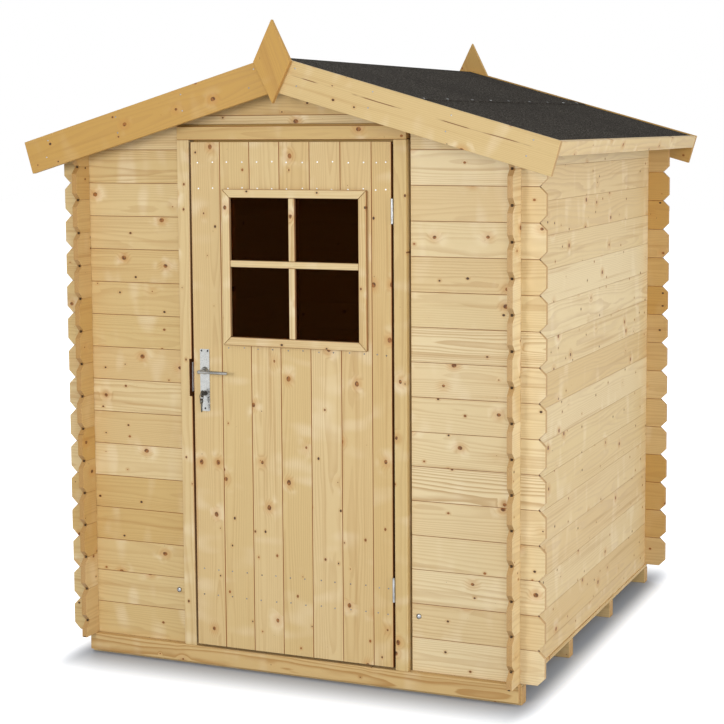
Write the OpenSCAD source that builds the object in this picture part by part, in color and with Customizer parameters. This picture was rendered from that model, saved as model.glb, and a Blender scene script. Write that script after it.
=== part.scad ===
// Wooden garden shed of interlocking log boards with a felt-covered gable roof.
// Front faces -Y, X runs to the right, Z is up, millimetres.
// The origin is on the ground under the middle of the shed.

/* [Walls] */
// Width over the outer faces of the side walls
wall_w = 1560; // [1500:5:1640]
// Depth over the outer faces of the front and back walls
wall_d = 1636; // [1600:4:1700]
// Height of the side walls at their outer face, above the clear door opening
eave_over = 17; // [5:1:30]
// Thickness of the log boards
board_t = 18; // [15:0.5:20]
// Height of one course of log boards
course_h = 112; // [110.5:0.5:113]
// How far the log ends stand out past the crossing wall
log_end = 82; // [60:1:90]
// Chamfer on the corners of every log end
end_chamfer = 23; // [12:1:28]
// Depth of the vee joint between two courses
joint_vee = 1.6; // [1:0.2:3]
// Clearance of the cross lap where two walls pass through each other
lap_gap = 0.4; // [0.2:0.1:0.8]

/* [Base] */
// Height of the floor joists
joist_h = 58; // [48:1:70]
// Thickness of the floor joists
joist_t = 44; // [36:1:60]
// How far the joist ends stand out past the side walls
joist_out = 7; // [2:1:12]
// Thickness of the floor deck
floor_t = 12; // [10:1:18]
// How far the deck edge stands out past the side walls
deck_out = 5; // [1:1:6]
// Thickness of the plinth board along the front
plinth_t = 22; // [18:1:28]

/* [Roof] */
// Pitch of the roof in degrees
roof_pitch = 16.1; // [14:0.1:18]
// Overhang of the roof past the side walls
eave_out = 161; // [125:1:180]
// Overhang from the gable wall to the back of the bargeboard
gable_out = 100; // [90:1:120]
// Thickness of the roof boarding
roof_t = 16; // [14:1:20]
// Thickness of one layer of roofing felt
felt_t = 2.5; // [2:0.5:4]
// Slope distance from the ridge to the lower edge of the top felt sheet
felt_seam = 505; // [420:5:600]
// Overlap of the top felt sheet on the lower one
felt_lap = 60; // [40:5:80]
// Width of the bargeboards
barge_h = 110; // [95:1:120]
// Thickness of the bargeboards, eave boards and finials
trim_t = 18; // [14:1:22]
// Hairline left between the sloping layers of the roof and what carries them
seat_gap = 0.15; // [0.1:0.05:0.3]
// How far the top edge of the bargeboard stands above the felt
barge_lip = 4; // [3:0.5:8]
// Height of the eave boards
eave_h = 45; // [40:1:60]
// Width of the diamond finial
finial_w = 130; // [100:2:150]
// Height of the diamond finial
finial_h = 263; // [220:1:280]
// Width of the roof purlins
purlin_w = 44; // [38:1:50]
// Depth of the ridge purlin below the peak
ridge_h = 95; // [80:1:110]
// Depth of the side purlins
purlin_h = 64; // [50:1:70]
// Gap between the side purlins and the battens of the door frame
purlin_gap = 8; // [5:1:40]

/* [Door frame] */
// Clear width between the door posts
frame_clear_w = 730; // [620:2:840]
// Clear height from the floor deck to the door head
frame_clear_h = 1713; // [1500:1:1950]
// Face width of the door posts and the head
post_w = 44; // [38:1:50]
// How far the posts and the head stand in front of the wall
post_out = 20; // [18:1:24]
// Gap left between the frame and the cut wall boards
settle_gap = 7; // [5:1:8]
// Thickness of the battens that clamp the wall from inside
batten_t = 20; // [16:1:24]
// How far the battens stand into the clear opening as a door stop
stop_in = 14; // [11:1:16]
// How far the battens reach past the frame onto the wall
batten_reach = 53; // [45:1:60]
// Height of the strike notch in the left post
strike_h = 125; // [110:1:140]
// Width of the strike notch
strike_w = 10; // [8:1:16]
// Height of the strike plate in the notch
strike_plate_h = 98; // [80:1:108]

/* [Door] */
// Gap between the leaf and the posts
door_gap = 7; // [6:0.5:8]
// Gap under the door leaf
door_foot_gap = 8; // [6:1:12]
// Thickness of the door boards
door_t = 16; // [14:1:17]
// Width of the ripped board on the hinge side, the other six share the rest
hinge_board_w = 68; // [50:1:90]
// Thickness of the ledges across the back of the door
ledge_t = 16; // [12:1:16]
// Height of the ledges
ledge_h = 110; // [90:1:110]
// Height of the bottom ledge above the floor deck
ledge_low_z = 172; // [140:1:220]

/* [Window] */
// Width of board left standing beside the glass, up to the next board joint
glass_margin = 40.5; // [40:0.5:60]
// Height of door above the glass
glass_drop = 181.5; // [150:0.5:220]
// Width of the mitred trim round the glass
trim_w = 28; // [20:1:30]
// Thickness of the trim
trim_out = 15; // [10:1:18]
// Glass edge hidden behind the trim
glass_cover = 9; // [6:1:12]
// Thickness of the pane
glass_t = 4; // [3:0.5:6]
// Hairline left open at every mitre
mitre_gap = 0.4; // [0.2:0.1:0.8]

/* [Lock] */
// Height of the lever above the floor deck
lever_z = 947; // [920:1:970]
// Distance of the lever from the closing edge of the leaf
lock_set = 43; // [40:1:48]
// Width of the lock plate
plate_w = 35; // [30:1:38]
// Height of the lock plate
plate_h = 209; // [180:1:220]
// Thickness of the lock plate
plate_t = 3; // [2:0.5:4]
// Distance between the lever and the key cylinder
lock_drop = 76; // [66:1:84]
// Length of the lever arm from its pivot
lever_len = 104; // [90:1:120]
// Diameter of the lever arm
lever_d = 10; // [8:0.5:12]
// How far the lever arm stands off its plate
lever_off = 44; // [38:1:50]
// Diameter of the bore for the lever spindle
lever_bore = 14; // [13:0.5:16]
// Diameter of the bore for the key cylinder
key_bore = 18; // [16:0.5:20]
// Width of the lock case behind the door
case_w = 60; // [44:1:70]
// Height of the lock case
case_h = 224; // [214:1:240]
// Depth of the lock case
case_t = 20; // [16:1:24]

/* [Hinges] */
// Height of one hinge
hinge_h = 80; // [70:2:100]
// Diameter of the hinge knuckles
knuckle_d = 8; // [7:0.5:9]
// Thickness of the hinge leaves
leaf_t = 1.8; // [1.5:0.1:2]
// Depth of the hinge leaves
leaf_w = 14; // [10:1:15]
// Middle of the lower hinge above the floor deck
hinge_low_z = 266; // [240:2:300]
// Middle of the upper hinge below the top of the leaf
hinge_drop = 219; // [180:1:260]

/* [Hidden] */
$fn = 40;
base_z = joist_h + floor_t;
half_w = wall_w / 2;
half_d = wall_d / 2;
log_x = half_w + log_end;
log_y = half_d + log_end;
quarter = course_h / 4;
past = 10;
vee_side = joint_vee * sqrt(2);
tan_p = tan(roof_pitch);
peak_z = base_z + frame_clear_h + eave_over + half_w * tan_p;
courses = ceil((peak_z - base_z) / course_h);
felt_low = roof_t + seat_gap;
felt_top = felt_low + felt_t;
felt_bend = 14;
felt_butt = 0.5;
barge_n = felt_top + barge_lip;
slope_len = (half_w + eave_out - barge_n * sin(roof_pitch)) / cos(roof_pitch);
deck_end = slope_len - trim_t;
eave_top = felt_top + 1.5;
finial_rise = 4;
plinth_out = 3;
roof_y = half_d + gable_out;
post_in = frame_clear_w / 2;
post_x = post_in + post_w;
wall_end_x = post_x + settle_gap;
head_z = base_z + frame_clear_h;
head_top = head_z + post_w;
gable_z = head_top + settle_gap;
face_y = -half_d - post_out;
inner_y = -half_d + board_t;
stop_x = post_in - stop_in;
batten_x = post_x + batten_reach;
batten_over = 30;
purlin_x = batten_x + purlin_gap + purlin_w / 2;
door_hw = post_in - door_gap;
door_z = base_z + door_foot_gap;
door_top = head_z - door_gap;
door_back = face_y + door_t;
door_board_w = (2 * door_hw - hinge_board_w) / 6;
seam_l = -door_hw + door_board_w;
seam_r = door_hw - hinge_board_w;
ledge_in = 3;
ledge_clear = 8;
glass_x = (seam_l + seam_r) / 2;
glass_r = (seam_r - seam_l) / 2 - glass_margin;
glass_mid = door_top - glass_drop - glass_r;
pane_gap = 1;
pane_r = glass_r + glass_cover;
hole_r = pane_r + pane_gap;
trim_r = glass_r + trim_w;
bead_out = 10;
lock_x = -door_hw + lock_set;
lock_z = base_z + lever_z;
key_z = lock_z - lock_drop;
plate_drop = 32;
plate_mid = lock_z - plate_drop;
plate_round = 4;
case_back = door_back + case_t;
case_clear = 7;
strike_drop = 27;
strike_mid = lock_z - strike_drop;
strike_t = 2;
key_t = 2.4;
key_bow = 24;
hub_d = 26;
hub_h = 9;
neck_d = 13;
spindle_w = 8;
turn_gap = 0.4;
hinge_x = post_in - door_gap / 2;
hinge_y = face_y - knuckle_d / 2 + 0.8;
hinge_zs = [base_z + hinge_low_z, door_top - hinge_drop];
knuckle_gap = 0.2;
pin_d = 3.6;
pin_bore = 4.2;
leaf_front = hinge_y + knuckle_d / 2 + 0.4;
leaf_back = face_y + leaf_w;

wood = [0.86, 0.76, 0.58];
gold = [0.80, 0.65, 0.40];
felt = [0.24, 0.23, 0.22];
steel = [0.70, 0.71, 0.72];
glass = [0.16, 0.13, 0.11];

// A point of the right slope: s runs down the underside from the ridge, n stands square off it
function on_roof(s, n) = [s * cos(roof_pitch) + n * sin(roof_pitch),
    peak_z - s * sin(roof_pitch) + n * cos(roof_pitch)];
// The same for the plumb line under the ridge
function at_ridge(n) = [0, peak_z + n / cos(roof_pitch)];
// Height at x of what carries the roof, a hairline under the boarding
function under(x) = peak_z - seat_gap - abs(x) * tan_p;

// Stands a drawing of x and z up between two depths
module along_y(y0, y1) {
    translate([0, y1, 0])
        rotate([90, 0, 0])
            linear_extrude(height = y1 - y0)
                children();
}

// Stands a drawing of y and z up between two widths
module along_x(x0, x1) {
    translate([x0, 0, 0])
        rotate([90, 0, 90])
            linear_extrude(height = x1 - x0)
                children();
}

module box(x0, x1, y0, y1, z0, z1) {
    translate([x0, y0, z0])
        cube([x1 - x0, y1 - y0, z1 - z0]);
}

// Outline of log ends from the bottom up, with the first joint at the height start
function log_edge(out, start) = [for (k = [0 : courses]) for (p = [
    [out - end_chamfer, start + k * course_h],
    [out, start + k * course_h + end_chamfer],
    [out, start + (k + 1) * course_h - end_chamfer]]) p];
function flip(points) = [for (k = [len(points) - 1 : -1 : 0]) [-points[k][0], points[k][1]]];

// Gable wall drawing: stacked courses, cut off under the roof and lapped for the side walls
module gable_drawing() {
    edge = log_edge(log_x, base_z);
    difference() {
        intersection() {
            polygon(concat(edge, flip(edge)));
            polygon([[-log_x - past, base_z], [log_x + past, base_z], [log_x + past, under(log_x + past)],
                [0, under(0)], [-log_x - past, under(log_x + past)]]);
        }
        for (k = [0 : courses])
            for (x = [half_w - board_t, -half_w])
                translate([x - lap_gap / 2, base_z + k * course_h - quarter - lap_gap / 2])
                    square([board_t + lap_gap, 2 * quarter + lap_gap]);
        purlin_drawing(lap_gap / 2);
    }
}

// Side wall drawing: a half course at the bottom, lapped between the courses of the gable walls
module side_drawing() {
    low = [[log_y, base_z], [log_y, base_z + course_h / 2 - end_chamfer]];
    edge = concat(low, log_edge(log_y, base_z + course_h / 2));
    difference() {
        intersection() {
            polygon(concat(edge, flip(edge)));
            translate([-log_y - past, base_z])
                square([2 * (log_y + past), under(half_w - board_t) - base_z]);
        }
        for (k = [0 : courses])
            for (y = [half_d - board_t, -half_d])
                translate([y - lap_gap / 2, base_z + k * course_h + quarter - lap_gap / 2])
                    square([board_t + lap_gap, 2 * quarter + lap_gap]);
    }
}

// Sections of the three purlins
module purlin_drawing(gap) {
    w = purlin_w / 2 + gap;
    polygon([[-w, peak_z - ridge_h - gap], [w, peak_z - ridge_h - gap], [w, under(w) + 1],
        [0, under(0) + 1], [-w, under(w) + 1]]);
    for (side = [-1, 1])
        polygon([[side * (purlin_x - w), under(purlin_x) - purlin_h - gap],
            [side * (purlin_x + w), under(purlin_x) - purlin_h - gap],
            [side * (purlin_x + w), under(purlin_x + w) + 1],
            [side * (purlin_x - w), under(purlin_x - w) + 1]]);
}

// Vee joints along a gable wall at the depth y
module gable_vees(y) {
    for (k = [1 : courses - 1])
        translate([0, y, base_z + k * course_h])
            rotate([45, 0, 0])
                cube([2 * (log_x + past), vee_side, vee_side], center = true);
}

// Vee joints along a side wall at the width x
module side_vees(x) {
    for (k = [0 : courses - 1])
        translate([x, 0, base_z + (k + 0.5) * course_h])
            rotate([0, 45, 0])
                cube([vee_side, 2 * (log_y + past), vee_side], center = true);
}

// The part of the front wall between two widths and above a height
module front_piece(x0, x1, z0) {
    difference() {
        along_y(-half_d, inner_y)
            intersection() {
                gable_drawing();
                translate([x0, z0])
                    square([x1 - x0, peak_z - z0]);
            }
        gable_vees(-half_d);
    }
}

module side_wall(side) {
    x0 = side > 0 ? half_w - board_t : -half_w;
    difference() {
        along_x(x0, x0 + board_t)
            side_drawing();
        along_y(-log_y - past, log_y + past)
            polygon([[side * (half_w - board_t - past), under(half_w - board_t - past)],
                [side * (half_w + past), under(half_w + past)],
                [side * (half_w + past), peak_z],
                [side * (half_w - board_t - past), peak_z]]);
        side_vees(side * half_w);
    }
}

// Four joists across the width, the outer two under the gable walls
module floor_joists() {
    last = half_d - joist_t / 2;
    color(wood)
        for (y = [-last, -last / 3, last / 3, last])
            box(-half_w - joist_out, half_w + joist_out, y - joist_t / 2, y + joist_t / 2, 0, joist_h);
}

module floor_deck() {
    color(wood)
        box(-half_w - deck_out, half_w + deck_out, -half_d, half_d, joist_h, base_z);
}

module plinth_board() {
    color(wood)
        box(-half_w - plinth_out, half_w + plinth_out, -half_d - plinth_t, -half_d, floor_t, base_z);
}

module front_wall_left() {
    color(wood)
        front_piece(-log_x - past, -wall_end_x, base_z);
}

module front_wall_right() {
    color(wood)
        front_piece(wall_end_x, log_x + past, base_z);
}

module front_gable() {
    color(wood)
        front_piece(-wall_end_x, wall_end_x, gable_z);
}

module back_wall() {
    color(wood)
        difference() {
            along_y(half_d - board_t, half_d)
                gable_drawing();
            gable_vees(half_d);
        }
}

module left_wall() {
    color(wood)
        side_wall(-1);
}

module right_wall() {
    color(wood)
        side_wall(1);
}

module ridge_purlin() {
    w = purlin_w / 2;
    color(wood)
        along_y(-roof_y, roof_y)
            polygon([[-w, peak_z - ridge_h], [w, peak_z - ridge_h], [w, under(w)],
                [0, under(0)], [-w, under(w)]]);
}

module side_purlin(side) {
    w = purlin_w / 2;
    low = under(purlin_x) - purlin_h;
    color(wood)
        along_y(-roof_y, roof_y)
            polygon([[side * (purlin_x - w), low], [side * (purlin_x + w), low],
                [side * (purlin_x + w), under(purlin_x + w)],
                [side * (purlin_x - w), under(purlin_x - w)]]);
}
module purlin_left() side_purlin(-1);
module purlin_right() side_purlin(1);

module roof_deck_right() {
    color(wood)
        along_y(-roof_y, roof_y)
            polygon([at_ridge(0), on_roof(deck_end, 0), on_roof(deck_end, roof_t), at_ridge(roof_t)]);
}
module roof_deck_left() {
    mirror([1, 0, 0])
        roof_deck_right();
}

module felt_low_right() {
    start = felt_seam - felt_lap;
    color(felt)
        along_y(-roof_y, roof_y)
            polygon([on_roof(start, felt_low), on_roof(deck_end, felt_low), on_roof(deck_end, felt_top),
                on_roof(start, felt_top)]);
}
module felt_low_left() {
    mirror([1, 0, 0])
        felt_low_right();
}

module felt_top_right() {
    start = felt_seam - felt_lap - felt_butt;
    lap = felt_top + seat_gap;
    high = lap + felt_t;
    color(felt)
        along_y(-roof_y, roof_y)
            polygon([at_ridge(felt_low), on_roof(start, felt_low), on_roof(start, lap),
                on_roof(felt_seam, lap), on_roof(felt_seam, high), on_roof(start, high),
                on_roof(start - felt_bend, felt_top), at_ridge(felt_top)]);
}
module felt_top_left() {
    mirror([1, 0, 0])
        felt_top_right();
}

module bargeboard(y) {
    color(gold)
        along_y(y, y + trim_t)
            polygon([at_ridge(barge_n - barge_h), on_roof(slope_len, barge_n - barge_h),
                on_roof(slope_len, barge_n), at_ridge(barge_n)]);
}
module bargeboard_front_right() bargeboard(-roof_y - trim_t);
module bargeboard_front_left() {
    mirror([1, 0, 0])
        bargeboard(-roof_y - trim_t);
}
module bargeboard_back_right() bargeboard(roof_y);
module bargeboard_back_left() {
    mirror([1, 0, 0])
        bargeboard(roof_y);
}

module eave_board_right() {
    color(wood)
        along_y(-roof_y, roof_y)
            polygon([on_roof(deck_end + seat_gap, eave_top - eave_h), on_roof(slope_len, eave_top - eave_h),
                on_roof(slope_len, eave_top), on_roof(deck_end + seat_gap, eave_top)]);
}
module eave_board_left() {
    mirror([1, 0, 0])
        eave_board_right();
}

module finial(y) {
    mid = peak_z + finial_rise;
    color(gold)
        along_y(y, y + trim_t)
            polygon([[-finial_w / 2, mid], [0, mid - finial_h / 2], [finial_w / 2, mid],
                [0, mid + finial_h / 2]]);
}
module finial_front() finial(-roof_y - 2 * trim_t);
module finial_back() finial(roof_y + trim_t);

module door_post_left() {
    color(wood)
        difference() {
            box(-post_x, -post_in, face_y, inner_y, base_z, head_z);
            box(-post_in - strike_w, -post_in + 1, face_y - 1, inner_y + 1, strike_mid - strike_h / 2,
                strike_mid + strike_h / 2);
        }
}

module door_post_right() {
    color(wood)
        box(post_in, post_x, face_y, inner_y, base_z, head_z);
}

module door_head() {
    color(wood)
        box(-post_x, post_x, face_y, inner_y, head_z, head_top);
}

// Battens inside the wall: they clamp the cut boards to the frame and stop the door
module frame_battens() {
    back = inner_y + batten_t;
    top = gable_z + batten_over;
    color(wood) {
        box(-batten_x, -stop_x, inner_y, back, base_z, top);
        box(stop_x, batten_x, inner_y, back, base_z, top);
        box(-stop_x + mitre_gap, stop_x - mitre_gap, inner_y, back, head_z - stop_in, top);
    }
}

module strike_plate() {
    color(steel)
        box(-post_in - strike_w, -post_in - strike_w + strike_t, -half_d, inner_y,
            strike_mid - strike_plate_h / 2, strike_mid + strike_plate_h / 2);
}

// One stretch of the boarded leaf
module leaf_slab(x0, x1, z0, z1) {
    color(wood)
        box(x0, x1, face_y, door_back, z0, z1);
}

module door_board_left() {
    color(wood)
        difference() {
            leaf_slab(-door_hw, seam_l, door_z, door_top);
            for (z = [lock_z, key_z])
                translate([lock_x, face_y - 1, z])
                    rotate([-90, 0, 0])
                        cylinder(d = z == lock_z ? lever_bore : key_bore, h = door_t + 2);
        }
}

module door_board_right() leaf_slab(seam_r, door_hw, door_z, door_top);

// The five middle boards, cut through for the window
module door_panel() {
    color(wood)
        difference() {
            leaf_slab(seam_l, seam_r, door_z, door_top);
            box(glass_x - hole_r, glass_x + hole_r, face_y - 1, door_back + 1, glass_mid - hole_r,
                glass_mid + hole_r);
        }
}

module door_ledges() {
    reach = door_hw - ledge_in;
    back = door_back + ledge_t;
    top_z = glass_mid + hole_r + ledge_clear;
    mid_z = glass_mid - hole_r - ledge_clear - ledge_h;
    low_z = base_z + ledge_low_z;
    color(wood) {
        box(-reach, reach, door_back, back, top_z, top_z + ledge_h);
        box(lock_x + case_w / 2 + case_clear, reach, door_back, back, mid_z, mid_z + ledge_h);
        box(-reach, reach, door_back, back, low_z, low_z + ledge_h);
    }
}

// One mitred length of the trim, drawn for the bottom side
module trim_length() {
    g = mitre_gap;
    along_y(face_y - trim_out, face_y)
        polygon([[-trim_r + g, -trim_r], [trim_r - g, -trim_r], [glass_r - g, -glass_r],
            [-glass_r + g, -glass_r]]);
}

module window_trim() {
    color(wood)
        translate([glass_x, 0, glass_mid])
            for (turn = [0 : 90 : 270])
                rotate([0, turn, 0])
                    trim_length();
}

module window_beads() {
    y0 = face_y + glass_t;
    y1 = door_back + bead_out;
    color(wood)
        translate([glass_x, 0, glass_mid]) {
            for (z = [glass_r, -pane_r])
                box(-pane_r, pane_r, y0, y1, z, z + glass_cover);
            for (x = [glass_r, -pane_r])
                box(x, x + glass_cover, y0, y1, -glass_r + mitre_gap, glass_r - mitre_gap);
        }
}

module window_pane() {
    color(glass)
        box(glass_x - pane_r, glass_x + pane_r, face_y, face_y + glass_t, glass_mid - pane_r,
            glass_mid + pane_r);
}

// Outline of the lock plates with the two bores
module plate_drawing() {
    r = plate_round;
    translate([lock_x, plate_mid])
        difference() {
            union() {
                square([plate_w, plate_h - 2 * r], center = true);
                square([plate_w - 2 * r, plate_h], center = true);
                for (x = [-1, 1])
                    for (z = [-1, 1])
                        translate([x * (plate_w / 2 - r), z * (plate_h / 2 - r)])
                            circle(r = r);
            }
            translate([0, lock_z - plate_mid])
                circle(d = lever_bore);
            translate([0, key_z - plate_mid])
                circle(d = key_bore);
        }
}

module lock_plate() {
    color(steel) {
        along_y(face_y - plate_t, face_y)
            plate_drawing();
        along_y(case_back, case_back + plate_t)
            plate_drawing();
    }
}

// The rim lock behind the closing board
module lock_case() {
    color(steel)
        difference() {
            box(lock_x - case_w / 2, lock_x + case_w / 2, door_back, case_back, plate_mid - case_h / 2,
                plate_mid + case_h / 2);
            for (z = [lock_z, key_z])
                translate([lock_x, door_back - 1, z])
                    rotate([-90, 0, 0])
                        cylinder(d = z == lock_z ? lever_bore : key_bore, h = case_t + 2);
        }
}

// Key barrel through the plates with the key in it, its bow edge on to the front
module lock_cylinder() {
    y0 = face_y - plate_t - 3;
    y1 = case_back + plate_t + 3;
    color(steel) {
        translate([lock_x, y0, key_z])
            rotate([-90, 0, 0])
                cylinder(d = key_bore - 2 * turn_gap, h = y1 - y0);
        box(lock_x - key_t / 2, lock_x + key_t / 2, y0 - 7, y0 + 1, key_z - 4, key_z + 4);
        along_x(lock_x - key_t / 2, lock_x + key_t / 2)
            translate([y0 - 5 - key_bow / 2, key_z])
                difference() {
                    circle(d = key_bow);
                    translate([-key_bow / 4, 0])
                        circle(d = key_bow / 4);
                }
    }
}

function knuckle_z(mid, k) = mid - hinge_h / 2 + k * hinge_h / 5;

// Knuckles of one hinge that stand on the leaf, bored for the pin
module knuckles(mid, list, bore) {
    difference() {
        union() {
            for (k = list)
                translate([hinge_x, hinge_y, knuckle_z(mid, k) + knuckle_gap])
                    cylinder(d = knuckle_d, h = hinge_h / 5 - 2 * knuckle_gap);
            children();
        }
        if (bore > 0)
            translate([hinge_x, hinge_y, mid - hinge_h / 2 - 1])
                cylinder(d = bore, h = hinge_h + 2);
    }
}

module hinge_frame_leaves() {
    color(steel)
        for (mid = hinge_zs)
            union() {
                knuckles(mid, [0, 2, 4], 0)
                    for (k = [0, 2, 4])
                        box(post_in - leaf_t, post_in, hinge_y, leaf_back, knuckle_z(mid, k) + knuckle_gap,
                            knuckle_z(mid, k + 1) - knuckle_gap);
                box(post_in - leaf_t, post_in, leaf_front, leaf_back, mid - hinge_h / 2 + knuckle_gap,
                    mid + hinge_h / 2 - knuckle_gap);
                translate([hinge_x, hinge_y, mid - hinge_h / 2])
                    cylinder(d = pin_d, h = hinge_h);
            }
}

module hinge_door_leaves() {
    color(steel)
        for (mid = hinge_zs)
            union() {
                knuckles(mid, [1, 3], pin_bore)
                    for (k = [1, 3])
                        box(door_hw, door_hw + leaf_t, hinge_y, leaf_back, knuckle_z(mid, k) + knuckle_gap,
                            knuckle_z(mid, k + 1) - knuckle_gap);
                box(door_hw, door_hw + leaf_t, leaf_front, leaf_back, mid - hinge_h / 2 + knuckle_gap,
                    mid + hinge_h / 2 - knuckle_gap);
            }
}

// One lever, pointing away from the closing edge: a hub and neck, then the arm; out is the way it stands
module lever(y, out) {
    tip = lever_d / 4;
    neck_top = lever_off + 1;
    translate([lock_x, y + out * turn_gap, lock_z]) {
        rotate([-90 * out, 0, 0])
            rotate_extrude()
                polygon([[0, 0], [hub_d / 2, 0], [hub_d / 2 - 3, hub_h], [neck_d / 2, hub_h],
                    [neck_d / 2, neck_top - tip], [neck_d / 2 - tip, neck_top], [0, neck_top]]);
        translate([0, out * (lever_off - lever_d / 2), 0])
            rotate([0, 90, 0])
                rotate_extrude()
                    polygon([[0, 0], [lever_d / 2, 0], [lever_d / 2, lever_len - tip],
                        [lever_d / 2 - tip, lever_len], [0, lever_len]]);
    }
}

// Both levers on their square spindle
module lever_handle() {
    y0 = face_y - plate_t;
    y1 = case_back + plate_t;
    half = spindle_w / 2;
    color(steel)
        union() {
            lever(y0, -1);
            lever(y1, 1);
            box(lock_x - half, lock_x + half, y0 - hub_h / 2, y1 + hub_h / 2, lock_z - half, lock_z + half);
        }
}

floor_joists();
floor_deck();
plinth_board();
front_wall_left();
front_wall_right();
front_gable();
back_wall();
left_wall();
right_wall();
ridge_purlin();
purlin_left();
purlin_right();
roof_deck_left();
roof_deck_right();
felt_low_left();
felt_low_right();
felt_top_left();
felt_top_right();
bargeboard_front_left();
bargeboard_front_right();
bargeboard_back_left();
bargeboard_back_right();
eave_board_left();
eave_board_right();
finial_front();
finial_back();
door_post_left();
door_post_right();
door_head();
frame_battens();
strike_plate();
hinge_frame_leaves();
door_board_left();
door_board_right();
door_panel();
door_ledges();
window_trim();
window_beads();
window_pane();
lock_plate();
lock_case();
lock_cylinder();
hinge_door_leaves();
lever_handle();
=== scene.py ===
# %% [markdown]
# # A wooden garden shed of pine log boards
# The CAD frame already holds every solid of the shed at its true size. This lesson dresses it: each
# slab of the frame is laid again as the separate boards a carpenter would fit, every board gets its own
# piece of a tree, and the felt, the glass and the ironwork get their finishes. Nothing of the frame is
# moved, so the door and the lever still swing where the frame says.

import math
import random

import bmesh
import bpy
from mathutils import Matrix, Vector


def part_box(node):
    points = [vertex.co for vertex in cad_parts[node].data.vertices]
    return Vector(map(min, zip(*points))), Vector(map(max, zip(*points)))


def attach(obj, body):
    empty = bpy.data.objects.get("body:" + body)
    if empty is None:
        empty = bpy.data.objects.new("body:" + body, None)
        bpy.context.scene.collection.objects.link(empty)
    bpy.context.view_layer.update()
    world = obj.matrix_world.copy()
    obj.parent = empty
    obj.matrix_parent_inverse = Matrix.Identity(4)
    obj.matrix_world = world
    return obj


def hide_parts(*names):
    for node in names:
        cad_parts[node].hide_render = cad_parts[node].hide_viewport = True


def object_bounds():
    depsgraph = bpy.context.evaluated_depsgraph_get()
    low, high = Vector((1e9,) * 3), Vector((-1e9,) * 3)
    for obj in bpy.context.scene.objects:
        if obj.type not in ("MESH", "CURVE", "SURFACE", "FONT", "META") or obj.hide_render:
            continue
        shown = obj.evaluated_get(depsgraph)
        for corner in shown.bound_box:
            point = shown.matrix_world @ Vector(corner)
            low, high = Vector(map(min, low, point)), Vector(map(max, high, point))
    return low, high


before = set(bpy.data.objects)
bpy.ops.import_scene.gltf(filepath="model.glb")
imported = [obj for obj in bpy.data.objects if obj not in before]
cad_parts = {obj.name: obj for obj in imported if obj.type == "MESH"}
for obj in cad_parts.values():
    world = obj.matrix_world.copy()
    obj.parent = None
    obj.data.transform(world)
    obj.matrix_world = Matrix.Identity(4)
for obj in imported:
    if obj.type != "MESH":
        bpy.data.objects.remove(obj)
cad_box = [list(corner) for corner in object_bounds()]
dice = random.Random(11)
print("frame loaded, box", [[round(c, 3) for c in corner] for corner in cad_box])

# %% [markdown]
# ## Measures
# All places come from the frame, so a wall that is changed there moves its boards here. Only what the
# frame leaves out is written as a size: the width of a floor board, the width of a roof board, the round
# on an edge. Metres throughout.

# %% Measures read from the frame
gable_low, gable_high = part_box("back_wall")
side_low, side_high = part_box("right_wall")
base_z = gable_low[2]
log_x, log_y = gable_high[0], side_high[1]
wall_x, wall_y = side_high[0], gable_high[1]
wall_t = side_high[0] - side_low[0]
course = 0.112
quarter = course / 4
chamfer = 0.023
end_stray = 0.002
edge_round = 0.0012
seam = 0.00025
print("courses of", course, "m from", round(base_z, 3), "on walls", round(wall_t, 3), "m thick")

# %% The roof's own measures
pitch = math.radians(16.1)
roof_t, felt_t, trim_t, hairline = 0.016, 0.0025, 0.018, 0.00015
deck_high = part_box("roof_deck_right")[1]
barge_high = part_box("bargeboard_front_right")[1]
roof_y = deck_high[1]
peak_z = deck_high[2] - roof_t / math.cos(pitch)
carried_z = peak_z - hairline
barge_top = (barge_high[2] - peak_z) * math.cos(pitch)
slope_len = (barge_high[0] - barge_top * math.sin(pitch)) / math.cos(pitch)
open_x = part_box("front_wall_right")[0][0]
open_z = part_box("front_gable")[0][2]
print("peak at", round(peak_z, 3), "slope", round(slope_len, 3), "top of doorway", round(open_z, 3))

# %% [markdown]
# ## Boards with a grain of their own
# A board is a flat outline with a thickness. It could be a cube that is scaled, but then the log ends
# with their cut corners and the notches of the corner joint would be lost, so each board is drawn as an
# outline and given two faces and a rim. With the shape, the mesh stores where each point lies in the tree
# it was sawn from (along, across and through the trunk), how deep, golden and striped its board is, how
# far it lies from the board's long edges and on which face, and which faces are cut across the grain. The
# wood finish reads all of them.

# %% Helpers that collect boards into one mesh
trunk_run, pith_aside, pith_deep, pith_skin = 60.0, 0.05, (0.02, 0.11), 0.0004
tone_stray = 0.3


def new_piece(name, shape, finish):
    """Makes one object of collected points and faces."""
    mesh = bpy.data.meshes.new(name)
    mesh.from_pydata(shape["points"], [], shape["faces"])
    mesh.materials.append(finish)
    piece = bpy.data.objects.new(name, mesh)
    bpy.context.collection.objects.link(piece)
    return piece, mesh


def start_timber():
    return {"points": [], "faces": [], "grain": [], "tone": [], "edge": [], "depth": [], "end": []}


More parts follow.
